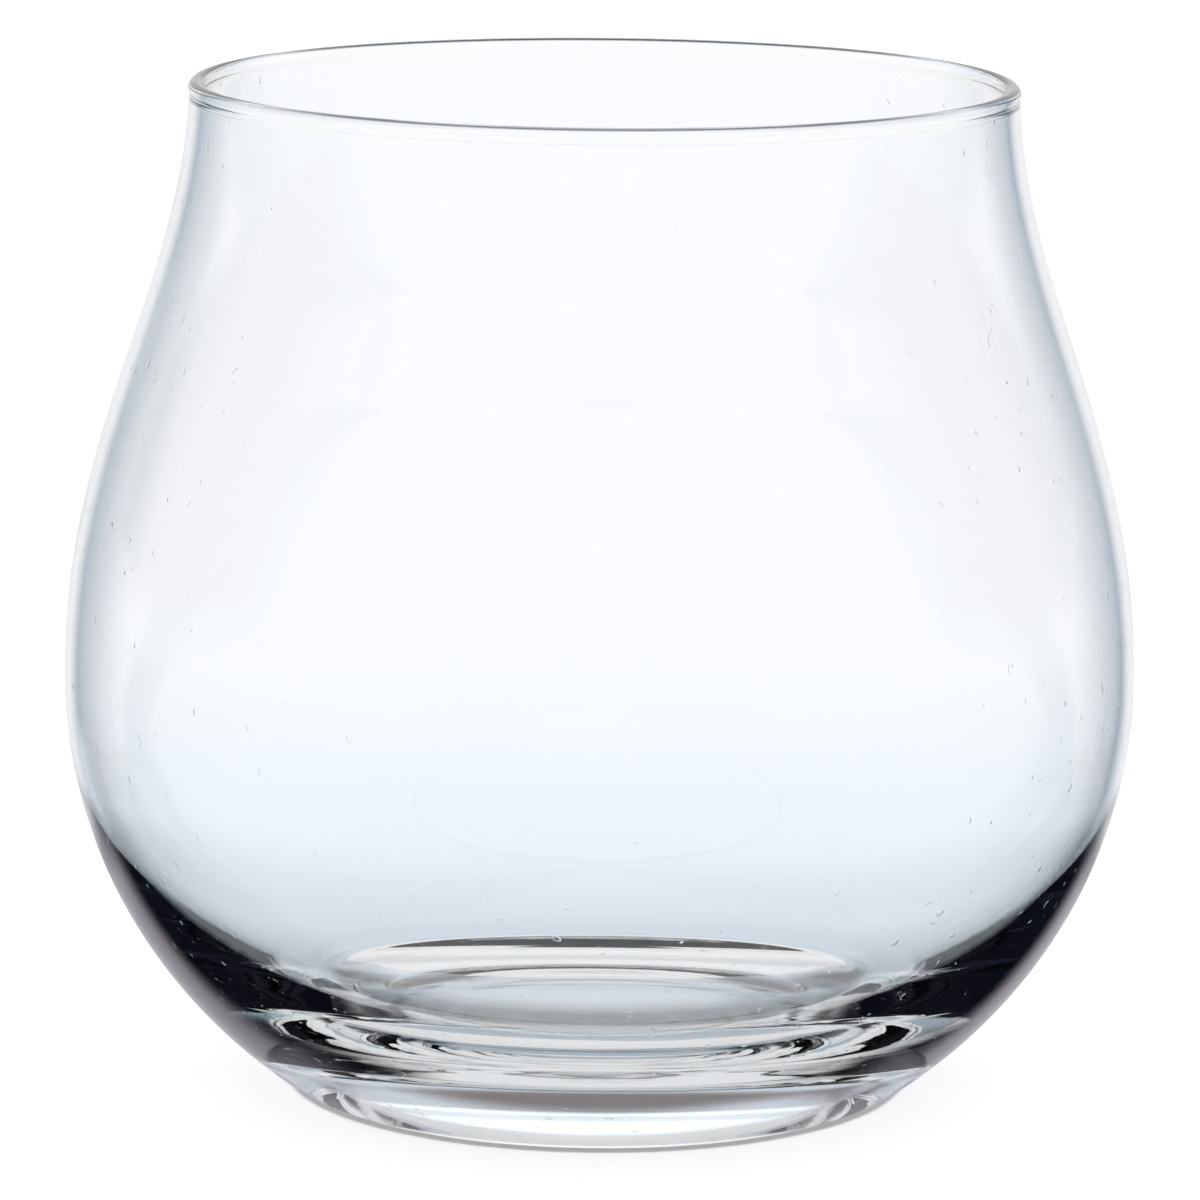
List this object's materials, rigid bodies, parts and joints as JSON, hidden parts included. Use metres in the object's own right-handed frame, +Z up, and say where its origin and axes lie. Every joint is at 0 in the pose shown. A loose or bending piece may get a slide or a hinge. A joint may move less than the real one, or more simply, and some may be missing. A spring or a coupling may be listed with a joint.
{
  "type": "sake glass",
  "caption": "Stemless sake glass: a round-bellied bowl of clear glass that narrows to an open mouth with a fire-polished lip, thick at the base, standing on a flat ring.",
  "frame": {"origin": "centre of the foot, on the surface that the glass stands on", "axes": "+Z up along the axis of the bowl, towards the mouth; the glass is round, so +X and +Y are free"},
  "size_m": [0.0802, 0.0802, 0.0756],
  "materials": {
    "clear_glass": "polished"
  },
  "bodies": {
    "root": {"glass": "clear_glass"}
  },
  "joints": []
}
